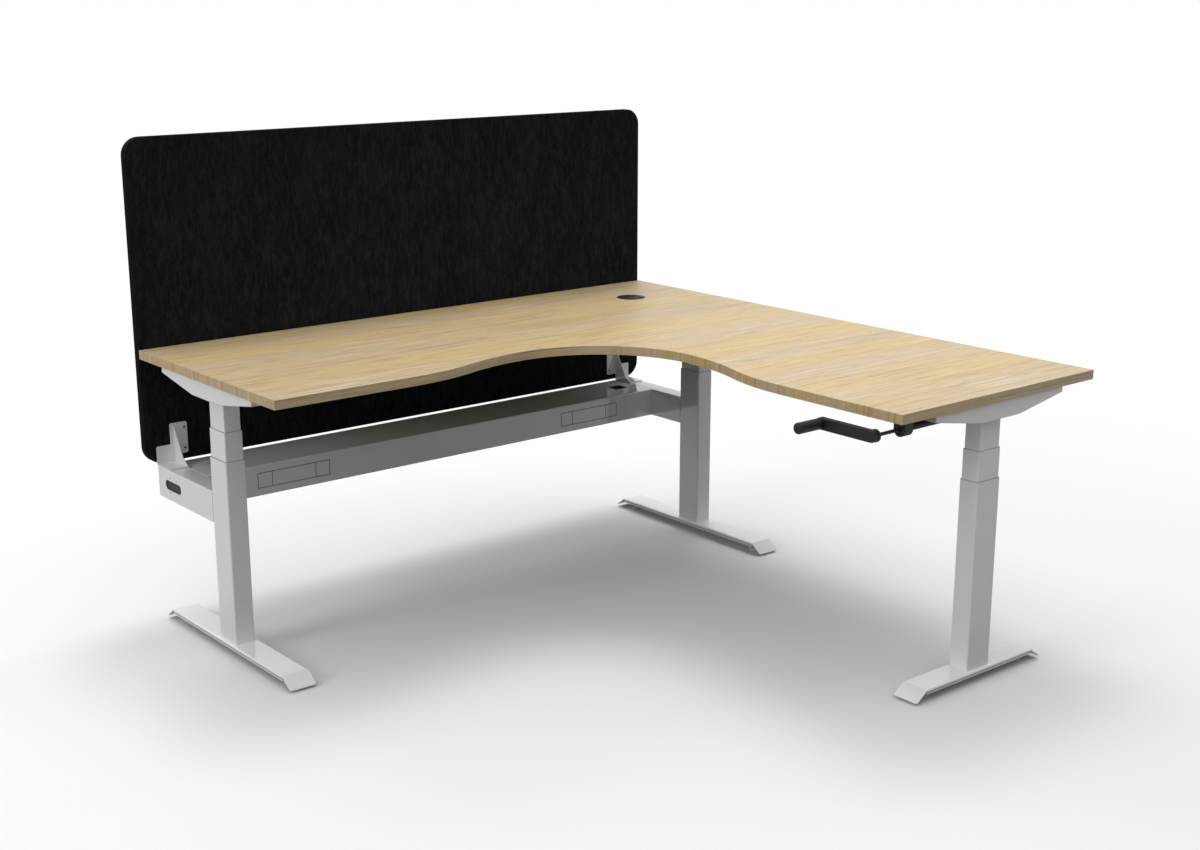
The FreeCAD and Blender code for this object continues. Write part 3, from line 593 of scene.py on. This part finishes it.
def screwGroup(name, sizeName, places, axis, body, slotName="bright_steel"):
    shape = bmesh.new()
    profile = screwProfile(screwSizes[sizeName])
    for place in places:
        turned(shape, profile, place, axis)
    smoothShade(meshPiece(name, shape, body, slotName), 40)


bracketScrews = {"fromInnerEdge": 9 * mm, "heights": (36 * mm, 96 * mm), "faceSheet": 3 * mm,
                 "baseInset": 20 * mm, "baseFromRear": (22 * mm, 58 * mm), "armSheet": 2 * mm}


# Screws of the two screen brackets: into the board, and up through the arms' tops
def screenBracketScrews():
    faces = []
    bases = []
    for side, name in ((1, "left_screen_bracket"), (-1, "right_screen_bracket")):
        low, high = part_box(name)
        inner = high.x if side > 0 else low.x
        outer = low.x if side > 0 else high.x
        for height in bracketScrews["heights"]:
            faces.append((inner - side * bracketScrews["fromInnerEdge"],
                          high.y - bracketScrews["faceSheet"], low.z + height))
        for back in bracketScrews["baseFromRear"]:
            bases.append((outer + side * bracketScrews["baseInset"], high.y - back,
                          low.z - bracketScrews["armSheet"]))
    screwGroup("screen_bracket_screws", "bracket", faces, (0, -1, 0), "lower_frame", "black_steel")
    screwGroup("bracket_base_screws", "bracket", bases, (0, 0, -1), "lower_frame", "black_steel")


railScrews = {"railWidth": 40 * mm, "spacing": 310 * mm, "endInset": 60 * mm, "sheet": 2 * mm}
earScrews = {"inset": 9 * mm, "sheet": 4 * mm}
flangeScrews = {"inset": 10 * mm, "sheet": 4 * mm}


# Screws up through the rails, the mitre gearbox's ears and the bearing's flange
def undersideScrews():
    places = []
    for name, axis in (("long_rails", 0), ("wing_rails", 1)):
        low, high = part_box(name)
        across = 1 - axis
        half = railScrews["railWidth"] / 2
        start = low[axis] + railScrews["endInset"]
        end = high[axis] - railScrews["endInset"]
        count = round((end - start) / railScrews["spacing"])
        for middle in (low[across] + half, high[across] - half):
            for step in range(count + 1):
                place = [0.0, 0.0, high.z - railScrews["sheet"]]
                place[axis] = start + (end - start) * step / count
                place[across] = middle
                places.append(tuple(place))
    low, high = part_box("mitre_gearbox")
    for x in (low.x + earScrews["inset"], high.x - earScrews["inset"]):
        places.append((x, (low.y + high.y) / 2, high.z - earScrews["sheet"]))
    low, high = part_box("crank_bearing")
    for y in (low.y + flangeScrews["inset"], high.y - flangeScrews["inset"]):
        places.append(((low.x + high.x) / 2, y, high.z - flangeScrews["sheet"]))
    screwGroup("underside_screws", "panel", places, (0, 0, -1), "desk")


footScrews = {"across": 18 * mm, "along": 30 * mm, "plate": 3 * mm}


# Four screws up through each foot into the leg's tube
def footScrewGroup():
    places = []
    for leg in legs:
        low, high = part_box(leg + "_outer_tube")
        middle = (low + high) / 2
        reach = [footScrews["across"], footScrews["across"]]
        reach[longAxis(low, high)] = footScrews["along"]
        for a in (-1, 1):
            for b in (-1, 1):
                places.append((middle.x + a * reach[0], middle.y + b * reach[1],
                               low.z - footScrews["plate"]))
    screwGroup("foot_screws", "foot", places, (0, 0, -1), "lower_frame")


# X and Y on the beam's top, then X and Z on its front
topHoleShade = {"beam": (-752 * mm, 808.5 * mm), "arm": (-805 * mm, 810.5 * mm)}
blankPlug = (639 * mm, 379.4 * mm)


# Small dark discs in the top of the beam and of the left arm, painted shade for holes there, and the pale plug
# on its front
def beamPlugsAndHoleShade():
    places = [(*place, beamHigh.z) for place in topHoleShade.values()]
    screwGroup("beam_top_plugs", "plug", places, (0, 0, 1), "lower_frame", "dark_plastic")
    x, z = blankPlug
    screwGroup("blank_plug", "plug", [(x, beamLow.y, z)], (0, -1, 0), "lower_frame", "white_plastic")


wiperShape = {"stand": 0.4 * mm, "outerShare": 0.4, "fromEdge": 0.6 * mm, "cornerRadius": 3.0 * mm}


# Grey rubber wipers in the mouths of the outer and middle tubes, higher at their inner edge
def tubeWipers(leg):
    for tube, slider, body in (("_outer_tube", "_middle_tube", "lower_frame"),
                               ("_middle_tube", "_inner_tube", leg + "_middle")):
        low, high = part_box(leg + tube)
        innerLow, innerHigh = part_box(leg + slider)
        middle = (low + high) / 2
        outer = (high - low) / 2 - Vector((1, 1, 0)) * wiperShape["fromEdge"]
        inner = (innerHigh - innerLow) / 2
        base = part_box("outer_guides")[1].z if tube == "_outer_tube" else high.z
        loops = []
        for reach, lift in ((outer, 0.0), (outer, wiperShape["outerShare"]), (inner, 1.0), (inner, 0.0)):
            height = base + lift * wiperShape["stand"]
            loops.append([(x, y, height) for x, y in
                          roundedLoop(middle, reach.x, reach.y, wiperShape["cornerRadius"])])
        shape = bmesh.new()
        lofted(shape, loops, closed=True)
        smoothShade(meshPiece(leg + tube + "_wiper", shape, body, "dark_plastic", "wiper_rubber"), 30)


# Steps are the inset from the slot's edge and the depth behind its face, in millimetres
slotShape = {"centre": (795.5 * mm, 399.5 * mm), "half": (60 * mm, 21 * mm), "radius": 12 * mm,
             "gap": 0.1 * mm, "depth": 3 * mm,
             "steps": ((0.0, 0.0), (0.0, 2.0), (2.0, 3.0), (14.0, 3.0), (15.0, 4.0))}


# Black dished insert that closes the arm's cable slot from within: a dark piece put in as painted shade for
# the unlit inside of the arm
def slotShadeInsert():
    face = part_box("left_arm")[0].x + slotShape["depth"]
    halfA, halfB = slotShape["half"]
    loops = []
    for inset, deep in slotShape["steps"]:
        reachA = halfA - inset * mm
        reachB = halfB - inset * mm
        radius = min(slotShape["radius"], reachB) - slotShape["gap"]
        loops.append([(face + deep * mm, y, z) for y, z in
                      roundedLoop(slotShape["centre"], reachA, reachB, radius)])
    shape = bmesh.new()
    lofted(shape, loops, capped=True)
    smoothShade(meshPiece("slot_insert", shape, "lower_frame", "dark_plastic"), 30)


# Rim is the reach out from the cut-out's edge and the lift above the beam's top, in millimetres
cutoutShape = {"low": (710.5 * mm, 774.5 * mm), "high": (750.5 * mm, 810.5 * mm), "radius": 2 * mm,
               "rim": ((-0.2, -6.0), (-0.2, 0.02), (5.0, 0.02), (5.0, 0.5), (4.2, 0.8), (-1.0, 0.8),
                       (-1.6, 0.3), (-1.6, -4.6))}


# Black insert with a flange in the beam's cut-out: its black stands in as painted shade for the unlit inside
# of the beam
def beamShadeInsert():
    lowX, lowY = cutoutShape["low"]
    highX, highY = cutoutShape["high"]
    middle = ((lowX + highX) / 2, (lowY + highY) / 2)
    loops = []
    for out, lift in cutoutShape["rim"]:
        reachX = (highX - lowX) / 2 + out * mm
        reachY = (highY - lowY) / 2 + out * mm
        loops.append([(x, y, beamHigh.z + lift * mm) for x, y in
                      roundedLoop(middle, reachX, reachY, cutoutShape["radius"])])
    shape = bmesh.new()
    lofted(shape, loops, capped=True)
    smoothShade(meshPiece("beam_insert", shape, "lower_frame", "dark_plastic"), 30)


gapShadeShape = {"half": 0.9 * mm, "proud": 0.15 * mm, "deep": 1.0 * mm, "windows": (-657.5 * mm, 419.5 * mm),
             "length": 229 * mm, "end": 45 * mm, "low": 378 * mm, "high": 421 * mm, "corner": 1.0 * mm}


# Black strips in the lines round the module blanks: painted shade for the dark gaps there
def blankGapShade():
    shape = bmesh.new()
    face = beamLow.y
    half = gapShadeShape["half"]
    proud = gapShadeShape["proud"]
    profile = ((half, gapShadeShape["deep"]), (half, -0.5 * proud), (0.5 * half, -proud), (-0.5 * half, -proud),
               (-half, -0.5 * proud), (-half, gapShadeShape["deep"]))
    middleZ = (gapShadeShape["low"] + gapShadeShape["high"]) / 2
    halfX = gapShadeShape["length"] / 2
    halfZ = (gapShadeShape["high"] - gapShadeShape["low"]) / 2
    for left in gapShadeShape["windows"]:
        middle = (left + halfX, middleZ)
        loops = []
        for out, back in profile:
            loops.append([(x, face + back, z) for x, z in
                          roundedLoop(middle, halfX + out, halfZ + out, gapShadeShape["corner"], 2)])
        lofted(shape, loops, closed=True)
        for x in (left + gapShadeShape["end"], left + gapShadeShape["length"] - gapShadeShape["end"]):
            lofted(shape, [[(x + out, face + back, z) for out, back in profile]
                           for z in (middleZ - halfZ + half, middleZ + halfZ - half)], capped=True)
    meshPiece("blank_seals", shape, "lower_frame", "dark_plastic")


# Turns a closed profile of (radius, distance) about the crank's axis, from a place along X
def crankRing(name, body, start, profile):
    low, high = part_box("crank_drive_tube")
    middle = (low + high) / 2
    turns = [step * math.pi / 16 for step in range(32)]
    loops = [[(start + far, middle.y + radius * math.cos(turn), middle.z + radius * math.sin(turn))
              for turn in turns] for radius, far in profile]
    shape = bmesh.new()
    lofted(shape, loops, closed=True)
    smoothShade(meshPiece(name, shape, body, "dark_plastic"), 40)


# How far the middle point of a rounded edge lies from its corner, as a share of its radius
roundShare = 0.3

sleeveShape = {"radius": 8.6 * mm, "bore": 6.1 * mm, "round": 1.5 * mm, "start": 3 * mm,
               "intoBracket": 118 * mm}


# Black sleeve on the crank's tube, from the bearing into the bracket's slot
def crankSleeve():
    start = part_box("crank_bearing")[1].x + sleeveShape["start"]
    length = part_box("right_side_bracket")[0].x + sleeveShape["intoBracket"] - start
    radius = sleeveShape["radius"]
    bore = sleeveShape["bore"]
    edge = sleeveShape["round"]
    near = edge * roundShare
    crankRing("crank_sleeve", "crank_tube", start,
              ((radius - edge, 0.0), (radius - near, near), (radius, edge), (radius, length - edge),
               (radius - near, length - near), (radius - edge, length), (bore, length), (bore, 0.0)))


hubShape = {"radius": 16 * mm, "bore": 12.1 * mm, "round": 1.2 * mm, "length": 7.2 * mm, "fromEnd": 8 * mm}


# Collar round the hub of the crank's arm
def crankHub():
    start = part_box("crank_arm")[1].x - hubShape["fromEnd"]
    length = hubShape["length"]
    radius = hubShape["radius"]
    bore = hubShape["bore"]
    edge = hubShape["round"]
    near = edge * roundShare
    crankRing("crank_hub_collar", "crank_handle", start,
              ((radius, 0.0), (radius, length - edge), (radius - near, length - near),
               (radius - edge, length), (bore, length), (bore, 0.0)))


stripShape = {"low": 27.45 * mm, "high": 28.95 * mm, "deep": 0.75 * mm, "face": 0.1 * mm, "round": 0.2 * mm,
              "fromEnd": 39 * mm}


# Dark strips in the grooves along the feet: painted shade for the shadow in the grooves
def footGrooveShade():
    shape = bmesh.new()
    bottom = stripShape["low"]
    top = stripShape["high"]
    deep = stripShape["deep"]
    face = stripShape["face"]
    edge = stripShape["round"]
    profile = ((deep, bottom), (face + edge, bottom), (face, bottom + edge), (face, top - edge),
               (face + edge, top), (deep, top))
    for leg in legs:
        low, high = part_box(leg + "_foot")
        long = longAxis(low, high)
        wide = 1 - long
        for wall, inward in ((low[wide], 1), (high[wide], -1)):
            loops = []
            for far in (low[long] + stripShape["fromEnd"], high[long] - stripShape["fromEnd"]):
                loop = []
                for inset, height in profile:
                    point = [0.0, 0.0, height]
                    point[long] = far
                    point[wide] = wall + inward * inset
                    loop.append(point)
                loops.append(loop)
            lofted(shape, loops, capped=True)
    meshPiece("foot_strips", shape, "lower_frame", "dark_plastic")


# Rims are the reach out from the disc's radius and the height from its bottom or its top, in millimetres
glideShape = {"radius": 19 * mm, "disc": 8 * mm, "flats": 6 * mm, "nut": 6 * mm, "nutSeat": 1.4,
              "step": 0.1 * mm, "thread": 3.6 * mm, "threadDepth": 0.9 * mm, "pitch": 1.5 * mm,
              "top": 32 * mm, "fromEnd": 62 * mm,
              "lowerRim": ((-2.0, 0.0), (-0.6, 0.5), (0.0, 1.8)),
              "upperRim": ((0.0, -3.0), (-1.0, -1.2), (-3.5, 0.0))}


# Levelling glides: a rounded foot, a hexagon above it and a threaded stem into the foot's top
def levellingGlides():
    radius = glideShape["radius"]
    disc = glideShape["disc"]
    flats = glideShape["flats"]
    thread = glideShape["thread"]
    pitch = glideShape["pitch"]
    top = glideShape["top"]
    nutTop = disc + glideShape["nut"]
    profile = [(radius + out * mm, up * mm, 0) for out, up in glideShape["lowerRim"]]
    profile += [(radius + out * mm, disc + up * mm, 0) for out, up in glideShape["upperRim"]]
    profile += [(flats * glideShape["nutSeat"], disc, 0), (flats, disc + glideShape["step"], 6),
                (flats, nutTop, 6), (thread, nutTop, 0)]
    height = nutTop
    while height + pitch < top:
        profile.append((thread, height + glideShape["step"], 0))
        profile.append((thread - glideShape["threadDepth"], height + pitch / 2, 0))
        height += pitch
    profile += [(thread, height, 0), (thread, top, 0), (0.0, top, 0)]
    shape = bmesh.new()
    for leg in legs:
        low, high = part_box(leg + "_foot")
        middle = (low + high) / 2
        long = longAxis(low, high)
        for way in (-1, 1):
            place = Vector((middle.x, middle.y, 0.0))
            place[long] += way * ((high[long] - low[long]) / 2 - glideShape["fromEnd"])
            turned(shape, profile, place, (0, 0, 1), 36)
    piece = meshPiece("glides", shape, "lower_frame", "clear_plastic")
    smoothShade(piece, 30)
    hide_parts("levelling_glides")


# Flat insets are in rolls; sides longer than longSide are divided
screenValues = {"cornerRadius": 50 * mm, "roll": 1.4 * mm, "rollSteps": 8, "flatInsets": (12, 3),
                "arcSteps": 14, "sideSteps": 40, "longSide": 0.2}


# Points round the screen's outline, inset by a distance
def screenLoop(inset):
    radius = screenValues["cornerRadius"] - inset
    reachX = screenHigh.x - screenValues["cornerRadius"]
    middle = (screenLow.z + screenHigh.z) / 2
    reachZ = screenHigh.z - middle - screenValues["cornerRadius"]
    loop = []
    for corner, (a, b) in enumerate(((1, 1), (-1, 1), (-1, -1), (1, -1))):
        for step in range(screenValues["arcSteps"] + 1):
            angle = corner * math.pi / 2 + step * math.pi / 2 / screenValues["arcSteps"]
            loop.append((a * reachX + radius * math.cos(angle),
                         middle + b * reachZ + radius * math.sin(angle)))
    full = []
    for (x, z), (nextX, nextZ) in zip(loop, loop[1:] + loop[:1]):
        full.append((x, z))
        if math.hypot(nextX - x, nextZ - z) > screenValues["longSide"]:
            for step in range(1, screenValues["sideSteps"]):
                share = step / screenValues["sideSteps"]
                full.append((x + (nextX - x) * share, z + (nextZ - z) * share))
    return full


# A felt cover: rolled over at its edge and stretched flat between
def feltCover(name, node):
    low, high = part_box(node)
    roll = screenValues["roll"]
    middle = (low.y + high.y) / 2
    half = (high.y - low.y) / 2
    insets = [share * roll for share in screenValues["flatInsets"]]
    rings = [(inset, middle - half) for inset in insets]
    for step in range(screenValues["rollSteps"] + 1):
        lift = math.sin(step * math.pi / screenValues["rollSteps"] - math.pi / 2)
        rings.append((roll - roll * math.sqrt(max(0.0, 1 - lift * lift)), middle + lift * half))
    rings += [(inset, middle + half) for inset in insets[::-1]]
    shape = bmesh.new()
    lofted(shape, [[(x, y, z) for x, z in screenLoop(inset)] for inset, y in rings], capped=True)
    piece = meshPiece(name, shape, "lower_frame", "black_felt")
    smoothShade(piece, 50)
    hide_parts(node)


screenBracketScrews()
undersideScrews()
footScrewGroup()
beamPlugsAndHoleShade()
for leg in legs:
    tubeWipers(leg)
slotShadeInsert()
beamShadeInsert()
blankGapShade()
crankSleeve()
crankHub()
footGrooveShade()
levellingGlides()
feltCover("felt_front", "screen_front_cover")
feltCover("felt_back", "screen_back_cover")
print("pieces made")


white = (1.0, 1.0, 1.0, 1.0)
floorValues = {
    "radius": 30.0,
    "segments": 96,
    "pale": paint(240, 240, 240),
    "bounce": paint(110, 110, 110),
    "fadeStart": 1.7,
    "fadeEnd": 3.4,
}


# Rays that may see the white surroundings
def seenRays(finish):
    camera = finish.add("ShaderNodeLightPath", output="Is Camera Ray")
    glossy = Wire(finish, camera.socket.node.outputs["Is Glossy Ray"])
    through = Wire(finish, camera.socket.node.outputs["Is Transmission Ray"])
    return camera.larger(glossy).larger(through)


# Plain pale floor that fades to white far away
def layFloor():
    finish = Finish("pale floor")
    seen = seenRays(finish)
    colour = finish.blend(seen, floorValues["bounce"], floorValues["pale"])
    matte = finish.surface(Base_Color=colour, Roughness=1.0, Specular_IOR_Level=0.0)
    glow = finish.add("ShaderNodeEmission", None, {"Color": white, "Strength": 1.0})
    away = finish.add("ShaderNodeVectorMath", {"operation": "LENGTH"}, {0: finish.place}, output="Value")
    fade = away.rise(floorValues["fadeStart"], floorValues["fadeEnd"]) * seen
    shape = bmesh.new()
    bmesh.ops.create_circle(shape, cap_ends=True, segments=floorValues["segments"],
                            radius=floorValues["radius"])
    mesh = bpy.data.meshes.new("floor")
    shape.to_mesh(mesh)
    shape.free()
    floor = bpy.data.objects.new("floor", mesh)
    bpy.context.scene.collection.objects.link(floor)
    shader = finish.add("ShaderNodeMixShader", None, {0: fade, 1: matte, 2: glow})
    mesh.materials.append(finish.close(shader))


skyValues = {"low": 0.0, "high": 1.12}


# White to the camera, and to everything else a soft light from above
def addSky():
    world = bpy.data.worlds.new("studio")
    bpy.context.scene.world = world
    finish = Finish("studio", world)
    way = finish.add("ShaderNodeTexCoord", output="Generated")
    height = finish.parts(way)[2]
    low = finish.add("ShaderNodeBackground", None, {"Color": white, "Strength": skyValues["low"]})
    high = finish.add("ShaderNodeBackground", None, {"Color": white, "Strength": skyValues["high"]})
    soft = finish.add("ShaderNodeMixShader", None, {0: height.larger(0.0), 1: low, 2: high})
    plain = finish.add("ShaderNodeBackground", None, {"Color": white, "Strength": 1.0})
    finish.close(finish.add("ShaderNodeMixShader", None, {0: seenRays(finish), 1: soft, 2: plain}),
                 "ShaderNodeOutputWorld")


# One broad lamp overhead, one high behind and a lower one from the left
lampValues = {
    "ceiling": {"place": (1.9, 1.9, 7.6), "aim": (0.1, 0.1, 0.0), "size": 3.0, "power": 165},
    "back": {"place": (0.1, 6.2, 5.1), "aim": (0.1, 0.1, 0.0), "size": 3.0, "power": 95},
    "left": {"place": (-16.0, 0.1, 6.2), "aim": (0.1, 0.1, 0.0), "size": 6.5, "power": 680},
}


def addLamps():
    for name, values in lampValues.items():
        lamp = bpy.data.lights.new(name, "AREA")
        lamp.shape = "SQUARE"
        lamp.size = values["size"]
        lamp.energy = values["power"]
        holder = bpy.data.objects.new(name, lamp)
        holder.location = values["place"]
        aim = Vector(values["aim"]) - Vector(values["place"])
        holder.rotation_euler = aim.to_track_quat("-Z", "Y").to_euler()
        bpy.context.scene.collection.objects.link(holder)


cameraValues = {"place": (-2.7635, -3.3449, 1.7179), "turn": (75.467, 0.0, -39.555), "lens": 50.0,
                "sensor": 36.0, "clipEnd": 100.0}


def addCamera():
    lens = bpy.data.cameras.new("camera")
    lens.lens = cameraValues["lens"]
    lens.sensor_width = cameraValues["sensor"]
    lens.clip_end = cameraValues["clipEnd"]
    holder = bpy.data.objects.new("camera", lens)
    holder.location = cameraValues["place"]
    holder.rotation_euler = [math.radians(angle) for angle in cameraValues["turn"]]
    bpy.context.scene.collection.objects.link(holder)
    bpy.context.scene.camera = holder


layFloor()
addSky()
addLamps()
addCamera()
bpy.context.scene.view_settings.view_transform = "Standard"
print("stage, lamps and camera set")
